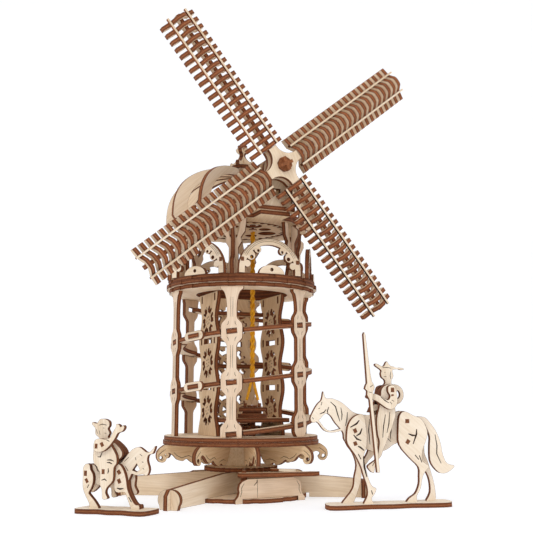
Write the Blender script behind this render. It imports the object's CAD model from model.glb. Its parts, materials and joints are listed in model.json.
"""Looks of the plywood tower windmill and its two riders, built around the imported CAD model."""
import json
import math
import random

import bmesh
import bpy
from mathutils import Matrix, Vector


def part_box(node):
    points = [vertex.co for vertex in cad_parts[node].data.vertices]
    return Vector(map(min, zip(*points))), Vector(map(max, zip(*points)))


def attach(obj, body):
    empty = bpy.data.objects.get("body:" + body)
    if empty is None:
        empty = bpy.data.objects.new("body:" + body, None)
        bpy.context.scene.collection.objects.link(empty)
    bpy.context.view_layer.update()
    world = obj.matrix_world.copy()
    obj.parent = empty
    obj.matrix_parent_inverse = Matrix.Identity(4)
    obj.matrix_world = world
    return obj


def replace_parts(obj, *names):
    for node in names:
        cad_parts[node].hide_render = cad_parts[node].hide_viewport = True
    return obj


MM = 0.001
PLY = 4 * MM
UP = Vector((0, 0, 1))

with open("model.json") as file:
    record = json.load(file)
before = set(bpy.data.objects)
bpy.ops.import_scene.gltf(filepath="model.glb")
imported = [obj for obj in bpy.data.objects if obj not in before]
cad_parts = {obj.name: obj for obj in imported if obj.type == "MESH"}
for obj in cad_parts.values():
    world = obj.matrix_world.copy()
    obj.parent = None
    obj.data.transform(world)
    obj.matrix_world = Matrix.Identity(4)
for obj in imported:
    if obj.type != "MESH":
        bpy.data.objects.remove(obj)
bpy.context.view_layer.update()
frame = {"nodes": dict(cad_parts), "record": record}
record = frame["record"]
body_of_node = {n: b for b, ns in record["behaviour"]["bodies"].items() for n in ns}


# Camera and light -----------------------------------------------------

CAMERA_AZIMUTH = -24.34
CAMERA_TILT_UP = 9.26
CAMERA_PLACE = (-0.3169, -0.7617, 0.0928)
CAMERA_LENS = 55.2
WORLD_STRENGTH = 0.8
KEY_POWER = 7
FILL_POWER = 1.5


def make_camera():
    data = bpy.data.cameras.new("camera")
    data.sensor_width = 36
    data.lens = CAMERA_LENS
    data.clip_start = 0.01
    camera = bpy.data.objects.new("camera", data)
    camera.location = CAMERA_PLACE
    camera.rotation_euler = (math.radians(90 + CAMERA_TILT_UP), 0, math.radians(CAMERA_AZIMUTH))
    bpy.context.scene.collection.objects.link(camera)
    bpy.context.scene.camera = camera


def make_area_light(name, place, aim, size, power, colour=(1, 1, 1)):
    data = bpy.data.lights.new(name, "AREA")
    data.shape = "DISK"
    data.size = size
    data.energy = power
    data.color = colour
    light = bpy.data.objects.new(name, data)
    light.location = place
    light.rotation_euler = (Vector(place) - Vector(aim)).to_track_quat("Z", "Y").to_euler()
    bpy.context.scene.collection.objects.link(light)


def make_light():
    world = bpy.data.worlds.new("studio")
    bpy.context.scene.world = world
    world.use_nodes = True
    background = world.node_tree.nodes["Background"]
    background.inputs["Color"].default_value = (1, 1, 1, 1)
    background.inputs["Strength"].default_value = WORLD_STRENGTH
    make_area_light("key", (-0.9, -1.1, 1.3), (0, 0, 0.2), 0.5, KEY_POWER, (1.0, 0.98, 0.96))
    make_area_light("fill", (1.2, -0.8, 0.7), (0, 0, 0.2), 1.0, FILL_POWER)
    view = bpy.context.scene.view_settings
    view.view_transform = "Standard"
    view.look = "None"


# Materials ------------------------------------------------------------

class Shader:
    """A short way to write a node tree."""

    def __init__(self, name):
        self.material = bpy.data.materials.new(name)
        self.material.use_nodes = True
        self.nodes = self.material.node_tree.nodes
        self.links = self.material.node_tree.links
        self.surface = self.nodes["Principled BSDF"]
        self.surface.inputs["Specular IOR Level"].default_value = 0.25

    def node(self, kind, inputs=(), **settings):
        n = self.nodes.new(kind)
        for key, value in settings.items():
            setattr(n, key, value)
        for key, value in dict(inputs).items():
            self.feed(n.inputs[key], value)
        return n

    def feed(self, socket, value):
        if isinstance(value, bpy.types.NodeSocket):
            self.links.new(value, socket)
        else:
            socket.default_value = value

    def math(self, operation, a, b=0.0, c=0.0):
        return self.node("ShaderNodeMath", {0: a, 1: b, 2: c}, operation=operation).outputs[0]

    def attribute(self, name, output="Fac"):
        return self.node("ShaderNodeAttribute", attribute_name=name).outputs[output]

    def noise(self, vector, scale, detail=3.0, rough=0.55):
        inputs = {"Vector": vector, "Scale": scale, "Detail": detail, "Roughness": rough}
        return self.node("ShaderNodeTexNoise", inputs).outputs["Fac"]

    def stretch(self, vector, sizes):
        inputs = {0: vector, 1: sizes}
        return self.node("ShaderNodeVectorMath", inputs, operation="MULTIPLY").outputs[0]

    def ramp(self, value, stops, smooth=False):
        n = self.node("ShaderNodeValToRGB", {"Fac": value})
        n.color_ramp.interpolation = "EASE" if smooth else "LINEAR"
        while len(n.color_ramp.elements) < len(stops):
            n.color_ramp.elements.new(0.5)
        for element, (place, colour) in zip(n.color_ramp.elements, stops):
            element.position = place
            element.color = (*colour, 1)
        return n.outputs["Color"]

    def mix(self, factor, a, b, blend="MIX"):
        n = self.node("ShaderNodeMix", data_type="RGBA", blend_type=blend)
        self.feed(n.inputs[0], factor)
        self.feed(n.inputs[6], a)
        self.feed(n.inputs[7], b)
        return n.outputs[2]

    def finish(self, colour, roughness, bump=None, bump_mm=0.05):
        self.feed(self.surface.inputs["Base Color"], colour)
        self.feed(self.surface.inputs["Roughness"], roughness)
        if bump is not None:
            inputs = {"Height": bump, "Distance": bump_mm * MM, "Strength": 1.0}
            self.feed(self.surface.inputs["Normal"], self.node("ShaderNodeBump", inputs).outputs[0])
        return self.material


def linear(red, green, blue):
    """A colour given as it looks on screen, 0 to 255, as linear light."""
    return tuple(((c / 255 + 0.055) / 1.055) ** 2.4 for c in (red, green, blue))


def ply_face(name, pale, mid, deep):
    """The broad face of a birch plywood plate: long soft grain, flecks, and char along the cuts."""
    s = Shader(name)
    place = s.attribute("grain", "Vector")
    plate = s.attribute("plate")
    grain = s.noise(s.stretch(place, (0.035, 0.55, 0.5)), 1.0, 4.0)
    broad = s.noise(s.stretch(place, (0.012, 0.07, 0.1)), 1.0, 2.0)
    fleck = s.noise(s.stretch(place, (0.5, 2.6, 1.0)), 1.0, 2.0)
    tone = s.math("ADD", s.math("MULTIPLY", grain, 0.55), s.math("MULTIPLY", broad, 0.45))
    tone = s.math("ADD", tone, s.math("MULTIPLY", s.math("SUBTRACT", plate, 0.5), 0.16))
    colour = s.ramp(tone, [(0.3, deep), (0.5, mid), (0.68, pale)])
    flecks = s.ramp(fleck, [(0.6, (0, 0, 0)), (0.74, (0.35, 0.35, 0.35))])
    colour = s.mix(flecks, colour, (*[c * 0.72 for c in mid], 1))
    smoke = s.math("MULTIPLY", s.attribute("scorch"), s.math("ADD", 0.55, s.math("MULTIPLY", grain, 0.7)))
    char = s.ramp(smoke, [(0.25, (0, 0, 0)), (0.8, (1, 1, 1))], True)
    colour = s.mix(char, colour, (*linear(86, 50, 28), 1))
    return s.finish(colour, 0.62, s.math("ADD", grain, s.math("MULTIPLY", fleck, 0.3)), 0.06)


def cut_edge(name, bright=1.0):
    """The laser-cut edge: scorched plies with darker glue lines between them."""
    s = Shader(name)
    place = s.attribute("grain", "Vector")
    depth = s.node("ShaderNodeSeparateXYZ", {0: place}).outputs[2]
    drift = s.noise(s.stretch(place, (0.25, 0.25, 0.1)), 1.0)
    wobble = s.math("MULTIPLY", s.math("SUBTRACT", drift, 0.5), 0.5)
    across = s.math("PINGPONG", s.math("ADD", depth, wobble), PLY / MM / 2)
    layers = s.ramp(s.math("DIVIDE", across, PLY / MM / 2), [
        (0.0, linear(150, 92, 56)), (0.26, linear(138, 82, 48)), (0.34, linear(62, 34, 20)),
        (0.44, linear(112, 63, 37)), (0.82, linear(128, 74, 44)), (0.93, linear(52, 30, 19))])
    burn = s.noise(s.stretch(place, (0.35, 0.35, 1.6)), 1.0, 4.0, 0.7)
    soot = s.ramp(burn, [(0.3, (0.62, 0.6, 0.58)), (0.62, (1.12, 1.1, 1.08))])
    plate = s.math("ADD", 0.86 * bright, s.math("MULTIPLY", s.attribute("plate"), 0.3))
    colour = s.mix(1.0, s.mix(1.0, layers, soot, "MULTIPLY"), plate, "MULTIPLY")
    return s.finish(colour, 0.78, burn, 0.1)


def burnt(name, dark, light):
    """Wood browned by the laser: an engraved line or the end of a tenon."""
    s = Shader(name)
    place = s.node("ShaderNodeTexCoord").outputs["Object"]
    tone = s.noise(place, 900.0, 3.0)
    colour = s.ramp(tone, [(0.35, dark), (0.65, light)])
    return s.finish(colour, 0.85, tone, 0.05)


def rubber():
    """Amber rubber with fine stretch marks along its length."""
    s = Shader("amber_rubber")
    place = s.node("ShaderNodeTexCoord").outputs["Object"]
    tone = s.noise(s.stretch(place, (900, 900, 160)), 1.0, 3.0)
    colour = s.ramp(tone, [
        (0.3, linear(196, 128, 10)), (0.55, linear(230, 164, 26)), (0.75, linear(246, 190, 60))])
    s.surface.inputs["Subsurface Weight"].default_value = 0.15
    s.surface.inputs["Subsurface Radius"].default_value = (0.004, 0.002, 0.0006)
    return s.finish(colour, 0.42, tone, 0.08)


BIRCH = ply_face("birch_face", linear(242, 224, 201), linear(232, 210, 182), linear(212, 186, 153))
FIGURE = ply_face("figure_face", linear(250, 236, 217), linear(243, 226, 203), linear(224, 202, 173))
SAND = ply_face("sand_face", linear(235, 213, 188), linear(225, 199, 172), linear(203, 174, 143))
WARM = ply_face("warm_face", linear(236, 211, 176), linear(222, 192, 154), linear(198, 163, 122))
EDGE = cut_edge("cut_edge")
SAIL_EDGE = cut_edge("sail_edge", 1.25)
LINE = burnt("engraved_line", linear(36, 22, 16), linear(66, 42, 29))
TENON = burnt("tenon_end", linear(96, 56, 36), linear(136, 86, 56))
RUBBER = rubber()


# Plywood pieces --------------------------------------------------------

CHAR_WIDTH = 0.42 * MM
SMALLEST_FACE = 14 * MM * MM
LONGEST_INSET = 2.2 * CHAR_WIDTH
HUB_FRONT = -101.2 * MM
COLLAR_HALF = 12 * MM


def direction(angle):
    """The level direction at an angle from +X, in degrees."""
    return Vector((math.cos(math.radians(angle)), math.sin(math.radians(angle)), 0))


def merged_mesh(node):
    """The CAD node's mesh with its doubled points joined, in a new bmesh."""
    bm = bmesh.new()
    bm.from_mesh(frame["nodes"][node].data)
    bmesh.ops.remove_doubles(bm, verts=bm.verts, dist=0.002 * MM)
    bmesh.ops.recalc_face_normals(bm, faces=bm.faces)
    return bm


def islands(bm):
    """The separate solids of a mesh, as lists of faces."""
    seen = set()
    found = []
    for start in bm.faces:
        if start in seen:
            continue
        seen.add(start)
        group = [start]
        for face in group:
            for edge in face.edges:
                for other in edge.link_faces:
                    if other not in seen:
                        seen.add(other)
                        group.append(other)
        found.append(group)
    return found


def main_normal(faces):
    """The direction that most of the solid's area faces."""
    totals = []
    for face in faces:
        area = face.calc_area()
        for entry in totals:
            if abs(entry[0].dot(face.normal)) > 0.999:
                entry[1] += area
                break
        else:
            totals.append([face.normal.copy(), area])
    return max(totals, key=lambda entry: entry[1])[0]


FIGURE_TURN = {"knight": -11.4, "squire": -42.4}


def face_normals(node):
    """The directions in which a solid shows uncut plywood, or none where it's the widest one."""
    body = body_of_node[node]
    if body in FIGURE_TURN:
        return [direction(FIGURE_TURN[body] - 90), UP]
    if node == "finial":
        return [UP, direction(45), direction(-45)]
    if is_ramp(node):
        return [UP]
    return []


def is_ramp(node):
    return node in ("ramp_lower", "ramp_middle", "ramp_upper")


def is_low(point):
    """Whether a figure's point belongs to its foot plate."""
    return point.z < PLY + 0.02 * MM


def is_broad(node, face, normals, big_enough):
    """Whether a face is uncut plywood."""
    if not big_enough(face):
        return False
    if body_of_node[node] in FIGURE_TURN and is_low(face.calc_center_median()):
        return abs(face.normal.z) > 0.95
    if node == "hub_plates" and face.calc_center_median().y < HUB_FRONT:
        return False
    if node == "turn_collar":
        return abs(face.normal.z) < 0.1 and face.calc_center_median().xy.length > COLLAR_HALF
    limit = 0.9 if is_ramp(node) else 0.985
    return any(abs(face.normal.dot(n)) > limit for n in normals)


def flat_areas(faces):
    """Area of the flat region that each face belongs to."""
    area = {}
    for start in faces:
        if start in area:
            continue
        region = [start]
        seen = {start}
        for face in region:
            for edge in face.edges:
                for other in edge.link_faces:
                    if other not in seen and other.normal.dot(start.normal) > 0.9995:
                        seen.add(other)
                        region.append(other)
        total = sum(f.calc_area() for f in region)
        for face in region:
            area[face] = total
    return area


def long_axis(faces, normal):
    """The direction in the plate's plane along which the plate is longest."""
    points = [v.co for f in faces for v in f.verts]
    side = normal.orthogonal().normalized()
    best = None
    for step in range(36):
        axis = Matrix.Rotation(math.radians(5 * step), 3, normal) @ side
        reach = [p.dot(axis) for p in points]
        span = max(reach) - min(reach)
        if best is None or span > best[0] + 1e-6:
            best = (span, axis)
    return best[1]


def grain_depth(node, point, normal, top):
    """Where a point lies in its ply, -2 to 2 mm, repeating through stacked sheets."""
    if body_of_node[node] in FIGURE_TURN and is_low(point):
        return (point.z - PLY / 2) / MM
    return (point.dot(normal) - top + PLY / 2) / MM


def dress(node, broad_material, edge_material, rng):
    """A plywood piece from a CAD node: grain, charred rims and burnt edges."""
    bm = merged_mesh(node)
    grain = bm.verts.layers.float_vector.new("grain")
    plate = bm.verts.layers.float.new("plate")
    scorch = bm.verts.layers.float.new("scorch")
    broad = []
    groups = islands(bm)
    widest = max(sum(f.calc_area() for f in group) for group in groups)
    for group in groups:
        slender = node.endswith("_frame") and sum(f.calc_area() for f in group) < 0.8 * widest
        normals = face_normals(node) or [main_normal(group)]
        areas = flat_areas(group) if len(normals) > 1 else None
        big_enough = (lambda f: areas[f] > SMALLEST_FACE) if areas else (lambda f: True)
        normal = normals[0]
        along = long_axis(group, normal)
        side = normal.cross(along)
        verts = {v for f in group for v in f.verts}
        top = max(v.co.dot(normal) for v in verts)
        luck = rng.random()
        shift = Vector((luck * 900, rng.random() * 900, 0))
        for face in group:
            face.material_index = 1
            if slender:
                face.material_index = 0 if abs(face.normal.y) > 0.9 else 1
            elif is_broad(node, face, normals, big_enough):
                broad.append(face)
                face.material_index = 0
        for v in verts:
            depth = grain_depth(node, v.co, normal, top)
            if is_ramp(node):
                tops = [f for f in v.link_faces if f.material_index == 0 and f.normal.z > 0]
                depth = PLY / MM / 2 * (1 if tops else -1)
            if node == "hub_plates" and v.co.y < HUB_FRONT:
                depth = 0
            v[grain] = Vector((v.co.dot(along) / MM, v.co.dot(side) / MM, depth)) + shift
            v[plate] = luck
            v[scorch] = 0.0 if slender else 1.0
    result = bmesh.ops.inset_region(
        bm, faces=broad, thickness=CHAR_WIDTH, use_boundary=True, use_even_offset=True)
    for face in result["faces"]:
        face.material_index = 0
    inner = {v for face in broad for v in face.verts}
    for v in inner:
        v[scorch] = 0.0
        pull_back(v, inner)
    piece = add_piece(node + "_ply", bm, [broad_material, edge_material], node)
    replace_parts(piece, node)


def pull_back(v, inner):
    """Keep a rim's inner point near the outer point it came from."""
    outer = [e.other_vert(v).co for e in v.link_edges if e.other_vert(v) not in inner]
    if outer:
        nearest = min(outer, key=lambda co: (v.co - co).length)
        step = v.co - nearest
        if step.length > LONGEST_INSET:
            v.co = nearest + step.normalized() * CHAR_WIDTH


def add_piece(name, bm, materials, node):
    """A new piece that moves with the CAD node's body and has its finish."""
    mesh = bpy.data.meshes.new(name)
    bm.to_mesh(mesh)
    bm.free()
    for material in materials:
        mesh.materials.append(material)
    piece = bpy.data.objects.new(name, mesh)
    bpy.context.scene.collection.objects.link(piece)
    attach(piece, body_of_node[node])
    return piece


WARM_NODES = ("floor_brackets", "inner_panels", "inner_shelves", "cap_floor", "cap_gear", "shaft_housing",
              "turn_collar", "base_top_plate", "winder_drum")
SAND_NODES = ("column_1", "column_2", "column_3", "column_4", "column_5", "column_6", "base_side_plates",
              "gallery_pillars")


def face_material(node):
    if body_of_node[node] in FIGURE_TURN:
        return FIGURE
    if node in WARM_NODES:
        return WARM
    return SAND if node in SAND_NODES else BIRCH


def dress_all():
    rng = random.Random(7)
    for node in sorted(frame["nodes"]):
        if node != "rubber_band":
            dress(node, face_material(node), SAIL_EDGE if node.startswith("sail_") else EDGE, rng)


# Engraved lines and tenon ends -----------------------------------------

MARK_RISE = 0.06
BASE_TURN = 4
FLOOR_TOP = 58.5
COLUMN_FRONT = -70.5
COLUMN_H = 138.9
GALLERY_Z = 209.4
RAMP_FIRST = 3.1
RAMP_PITCH = 47
RAMP_RISE = RAMP_PITCH / 6
KNIGHT = (30.3, -117.8, 0)
SQUIRE = (-164.2, -47.8, 0)


def plate_place(origin, turn):
    """A plate's own frame: x along it, y into it and z up, in mm."""
    turned = Matrix.Rotation(math.radians(turn), 4, "Z")
    return Matrix.Scale(MM, 4) @ Matrix.Translation(Vector(origin)) @ turned


def slab(bm, place, y, left, right, outward=-1):
    """A hair-thin slab on a plate's face at depth y, between two chains of (x, z) points."""
    rows = []
    for depth in (y + outward * MARK_RISE, y - outward * MARK_RISE):
        rows.append([
            [bm.verts.new(place @ Vector((x, depth, z))) for x, z in chain] for chain in (left, right)])
    (a, b), (c, d) = rows
    for i in range(len(left) - 1):
        bm.faces.new((a[i], a[i + 1], b[i + 1], b[i]))
        bm.faces.new((d[i], d[i + 1], c[i + 1], c[i]))
        bm.faces.new((c[i], c[i + 1], a[i + 1], a[i]))
        bm.faces.new((b[i], b[i + 1], d[i + 1], d[i]))
    bm.faces.new((a[0], b[0], d[0], c[0]))
    bm.faces.new((c[-1], d[-1], b[-1], a[-1]))


def line(bm, place, y, points, width=0.6, outward=-1):
    """An engraved line with pointed ends."""
    left, right = [], []
    last = len(points) - 1
    for i, point in enumerate(points):
        ahead = Vector(points[min(i + 1, last)]) - Vector(points[max(i - 1, 0)])
        ahead.normalize()
        reach = width / 2 * (1 if 0 < i < last else 0.5)
        side = Vector((-ahead.y, ahead.x)) * reach
        left.append(Vector(point) + side)
        right.append(Vector(point) - side)
    slab(bm, place, y, left, right, outward)


def patch(bm, place, y, x, z, width, height, turn=0):
    """A small rectangle, such as a tenon's end."""
    turned = Matrix.Rotation(math.radians(turn), 2)
    low, high = [
        [Vector((x, z)) + turned @ Vector((s * width / 2, t * height / 2)) for s in (-1, 1)] for t in (-1, 1)]
    slab(bm, place, y, high, low)


def swept(cx, cz, radius, start, end, steps=14):
    """Points on an arc."""
    angles = [math.radians(start + (end - start) * i / steps) for i in range(steps + 1)]
    return [(cx + radius * math.cos(a), cz + radius * math.sin(a)) for a in angles]


def mark_piece(name, node, bm, material):
    bmesh.ops.recalc_face_normals(bm, faces=bm.faces)
    add_piece(name, bm, [material], node)


def mark_columns():
    """Fine double lines on each column's necks, and ticks round its slots."""
    for k in range(6):
        bm = bmesh.new()
        place = plate_place((0, 0, 0), 60 * k - 30) @ Matrix.Translation((0, 0, FLOOR_TOP))
        slots = [RAMP_FIRST + RAMP_RISE * i for i in range(k, 17, 6)]
        for z in slots:
            for s in (-1, 1):
                for t in (-1, 1):
                    if 5 < z + 12 * t < COLUMN_H - 4:
                        line(bm, place, COLUMN_FRONT, [
                            (s * 4.4, z + t * 5.4), (s * 3.2, z + t * 7), (s * 3, z + t * 9.2)], 0.5)
        necks = zip([-RAMP_PITCH / 2] + slots, slots + [COLUMN_H + 6])
        for low, high in necks:
            start, end = max(low + 13, 3), min(high - 13, COLUMN_H - 10)
            if end - start > 6:
                for x in (-1, 1):
                    line(bm, place, COLUMN_FRONT, [(x, start), (x, (start + end) / 2), (x, end)], 0.35)
        mark_piece(f"column_{k + 1}_lines", f"column_{k + 1}", bm, LINE)


def mark_arches():
    """Three fine lines round each arch, and the tenon ends at its feet."""
    lines, tenons = bmesh.new(), bmesh.new()
    for k in range(6):
        place = plate_place((0, 0, 0), 60 * k) @ Matrix.Translation((0, 0, GALLERY_Z))
        for rise in (1.5, 3, 4.5):
            line(lines, place, -70, swept(0, 4, 26 + rise, 26, 154, 24), 0.3)
        for s in (-1, 1):
            patch(tenons, place, -70, s * 28.6, 13, 3.4, 4)
    mark_piece("arch_lines", "gallery_arches", lines, LINE)
    mark_piece("arch_tenons", "gallery_arches", tenons, TENON)


BRACKET_LINES = [
    [(78, 37.4), (80.6, 36), (83.4, 38), (83.6, 41.6), (80.6, 44), (77, 46.4)],
    [(50, 38), (54, 40), (57, 39.4), (61, 38), (66, 40.4), (69, 43.4)],
    [(33, 36), (37, 37), (41, 36.4), (45, 35)]]


def mark_brackets():
    """Leaf lines on both sides of each volute bracket."""
    bm = bmesh.new()
    for k in range(9):
        for outward, y in ((-1, -2), (1, 2)):
            place = plate_place((0, 0, 0), 40 * k - 12 - 90)
            for points in BRACKET_LINES:
                line(bm, place, y, points, 0.5, outward)
    mark_piece("bracket_lines", "floor_brackets", bm, LINE)


def mark_base():
    """A joint line and edge scrolls on the front and rear boards."""
    bm = bmesh.new()
    for turn in (0, 180):
        place = plate_place((0, 0, 0), BASE_TURN + turn) @ Matrix.Translation((2.5, 0, 0))
        line(bm, place, -57.1, [(-14, 4.6), (-14, 12), (-14, 21)], 0.4)
        line(bm, place, -57.1, [(-17.6, 15.6), (-14.6, 18.4), (-14.4, 20.4)], 0.9)
        for s in (-1, 1):
            line(bm, place, -57.1, [(s * 27.6, 18), (s * 30.2, 14), (s * 30, 10), (s * 31.6, 6)], 0.5)
    mark_piece("base_board_lines", "base_side_plates", bm, LINE)


# Lines on the figures: the plate's layer, counted from the middle, then points in mm
# along the foot plate and up. A tenon has its layer, middle, width, height and turn.
HORSE_LINES = [
    (0, [(5, 91), (9.5, 87), (11.5, 80), (13.5, 74)]), (0, [(14.5, 86), (15.5, 80), (15, 75)]),
    (0, [(20.5, 82), (20, 76), (18.5, 70)]), (0, [(3.4, 86.5), (2, 83), (2.6, 80.5)]),
    (0, [(-5, 80.5), (-1, 82), (1, 84.5)]), (0, [(-2.8, 91), (-3.6, 88)]), (0, [(-10.6, 76), (-11.6, 77.6)]),
    (0, [(-6, 85), (-4.8, 85.6)]), (0, [(103, 62), (104.5, 52), (104, 45), (108, 36.5)]),
    (0, [(56, 66), (54, 60), (53, 54)]), (0, [(62, 76), (61, 66), (60, 58)]), (0, [(57.5, 59), (60.5, 56)]),
    (0, [(41, 76), (40, 66), (41, 54)]),
    (1, [(21.6, 69), (27.4, 72), (30, 75)]), (1, [(32.5, 68), (30.5, 63.5), (27, 61.5)]),
    (1, [(24.5, 62.5), (27.5, 59), (31.5, 57.5)]), (1, [(28.4, 52.8), (31, 51.4), (34, 49)]),
    (1, [(28.5, 46), (31, 41.5)]), (1, [(33.2, 44), (33.8, 35), (36, 26.5)]), (1, [(40, 15), (41, 11.5)]),
    (1, [(83.7, 67), (83.4, 62.5), (80, 54)]), (1, [(75.8, 63), (79.5, 61.5), (83, 61.5)]),
    (1, [(81.5, 44.5), (85, 40.5)]), (1, [(85.5, 44), (87.8, 38)])]
HORSE_TENONS = [
    (1, 26, 66, 3.2, 3.8, 25), (1, 26, 55, 3.2, 3.6, 20),
    (1, 75, 74, 3.8, 3.6, 0), (1, 75, 56, 3.4, 4, -35)]
LANCER_LINES = [
    (3, [(47.5, 95.4), (51.5, 92), (55, 90)]), (3, [(57.6, 92.6), (59.8, 91.4)]), (3, [(56, 91), (57.8, 89)]),
    (0, [(54, 121.2), (58, 121.6), (62.5, 120.8)]), (0, [(56, 117), (57.2, 117.2)]),
    (0, [(55.4, 113.6), (58, 113.2)]), (0, [(62, 118), (61.4, 114), (62, 111)]),
    (2, [(53, 80), (51, 70), (50, 60)]), (2, [(57, 82), (56, 72), (54, 64)]),
    (2, [(40, 36), (42.6, 40.6)]), (4, [(36.2, 103.6), (39, 105.6)]), (4, [(35, 99.6), (37.6, 98.8)])]
LANCER_TENONS = [(3, 58.6, 101.4, 3.2, 4, 0), (3, 58.4, 96.8, 2.4, 1.6, 15)]
DONKEY_LINES = [
    (0, [(53.2, 48.2), (55.3, 46.7)]), (0, [(49.1, 45.5), (49.8, 43.2)]), (0, [(55.2, 42), (56.6, 41.6)]),
    (0, [(56.2, 36.8), (57.4, 36)]), (0, [(39, 42), (43, 45.5)]), (0, [(39.6, 38.5), (42.8, 34.3)]),
    (1, [(8.6, 22.6), (7.2, 20)]), (1, [(35, 20.6), (38, 20), (41, 20.6)]), (1, [(46, 13.8), (48.6, 9.8)])]
DONKEY_TENONS = [
    (1, 36.4, 33.5, 3, 3.6, 35), (1, 36.8, 26.3, 3, 3.8, 25),
    (1, 5, 31.8, 2.8, 4.4, 0), (1, 6.4, 25.8, 2.6, 3.8, 30)]
SQUIRE_LINES = [
    (2, [(15.8, 39.7), (18, 37), (19.4, 33.7)]), (2, [(28.4, 36.7), (28.8, 34.6), (28.2, 32.5)]),
    (2, [(22.6, 50), (20.8, 45.8), (18.3, 45.8)]), (2, [(27, 43.4), (30.4, 43.6), (33.5, 42.6)]),
    (2, [(27, 41.4), (29.6, 41.4), (32, 40.4)]), (2, [(22.6, 27), (25.5, 28), (27.3, 26.5)]),
    (3, [(28.4, 60), (31, 58.8)]), (0, [(18, 69.2), (19.4, 69)]), (0, [(14, 71.4), (17, 72.4), (21.5, 71.6)]),
    (0, [(11.6, 68), (13, 64.4)]), (0, [(14.4, 67), (15.4, 63.6)]), (0, [(19.6, 65), (21.4, 64.8)])]
SQUIRE_TENONS = [(2, 23.9, 33.9, 2.8, 4, 0), (3, 18.8, 54.8, 2.6, 4, 0), (3, 24.2, 56.2, 2.8, 3.6, 30)]


def mark_figure(node, origin, lines, tenons, width):
    place = plate_place(origin, FIGURE_TURN[body_of_node[node]])
    for name, material, shapes, draw in (("lines", LINE, lines, line), ("tenons", TENON, tenons, patch)):
        bm = bmesh.new()
        for layer, *shape in shapes:
            front = -4 * layer - 2
            if draw is line:
                line(bm, place, front, shape[0], width * (1.6 if layer else 1))
            else:
                patch(bm, place, front, *shape)
        mark_piece(f"{node}_{name}", node, bm, material)


def mark_all():
    mark_columns()
    mark_arches()
    mark_brackets()
    mark_base()
    mark_figure("horse", KNIGHT, HORSE_LINES, HORSE_TENONS, 1)
    mark_figure("lance_rider", KNIGHT, LANCER_LINES, LANCER_TENONS, 0.6)
    mark_figure("donkey", SQUIRE, DONKEY_LINES, DONKEY_TENONS, 0.9)
    mark_figure("donkey_rider", SQUIRE, SQUIRE_LINES, SQUIRE_TENONS, 0.7)


# Rubber band -----------------------------------------------------------

STRAND = 1.4 * MM
STRAND_OFFSET = 1.15 * MM
STRAND_SPREAD = 5.2 * MM
STRAND_STEPS = 260
OPEN_HEIGHT = 19 * MM
BAND_TURNS = 11


def tube(name, path, radius, sides=10):
    """A closed rubber tube through the points."""
    bm = bmesh.new()
    rings = []
    side = Vector((1, 0, 0))
    for i, point in enumerate(path):
        ahead = path[min(i + 1, len(path) - 1)] - path[max(i - 1, 0)]
        ahead.normalize()
        side = (side - ahead * side.dot(ahead)).normalized()
        over = ahead.cross(side)
        rings.append([bm.verts.new(point + (side * math.cos(a) + over * math.sin(a)) * radius)
                      for a in (2 * math.pi * k / sides for k in range(sides))])
    for low, high in zip(rings, rings[1:]):
        for k in range(sides):
            bm.faces.new((low[k], low[(k + 1) % sides], high[(k + 1) % sides], high[k])).smooth = True
    bm.faces.new(rings[0][::-1])
    bm.faces.new(rings[-1])
    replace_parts(add_piece(name, bm, [RUBBER], "rubber_band"), "rubber_band")


def twisted_band():
    """Two strands wound round each other, open at the foot where they hook on."""
    low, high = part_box("rubber_band")
    middle = Vector(((low.x + high.x) / 2, (low.y + high.y) / 2, 0))
    for k in range(2):
        path = []
        for i in range(STRAND_STEPS + 1):
            z = low.z + STRAND + (high.z - low.z - 2 * STRAND) * i / STRAND_STEPS
            opening = max(0.0, 1 - (z - low.z) / OPEN_HEIGHT)
            radius = STRAND_OFFSET + STRAND_SPREAD * opening
            turn = max(0.0, (z - low.z - OPEN_HEIGHT) / (high.z - low.z - OPEN_HEIGHT))
            angle = math.pi * k + 2 * math.pi * BAND_TURNS * turn
            path.append(middle + Vector((math.cos(angle) * radius, math.sin(angle) * radius, z)))
        tube(f"rubber_strand_{k + 1}", path, STRAND)


# Floor -----------------------------------------------------------------

def make_floor():
    """A pale sweep: the floor and a wall behind it in one bent sheet."""
    half, depth, wall, bend = 6.0, 5.0, 6.0, 1.5
    profile = [(-6.0, 0.0), (depth - bend, 0.0)]
    profile += [(depth - bend + bend * math.sin(a), bend - bend * math.cos(a))
                for a in (math.radians(10 * k) for k in range(1, 10))]
    profile.append((depth, wall))
    mesh = bpy.data.meshes.new("floor")
    verts = [(x, y, z) for y, z in profile for x in (-half, half)]
    faces = [(2 * i, 2 * i + 1, 2 * i + 3, 2 * i + 2) for i in range(len(profile) - 1)]
    mesh.from_pydata(verts, [], faces)
    for polygon in mesh.polygons:
        polygon.use_smooth = True
    s = Shader("pale_floor")
    s.surface.inputs["Emission Color"].default_value = (1, 1, 1, 1)
    s.surface.inputs["Emission Strength"].default_value = 0.55
    s.finish((0.52, 0.53, 0.56, 1), 0.9)
    mesh.materials.append(s.material)
    floor = bpy.data.objects.new("floor", mesh)
    floor.rotation_euler.z = math.radians(CAMERA_AZIMUTH)
    bpy.context.scene.collection.objects.link(floor)


make_camera()
make_light()
make_floor()
dress_all()
mark_all()
twisted_band()
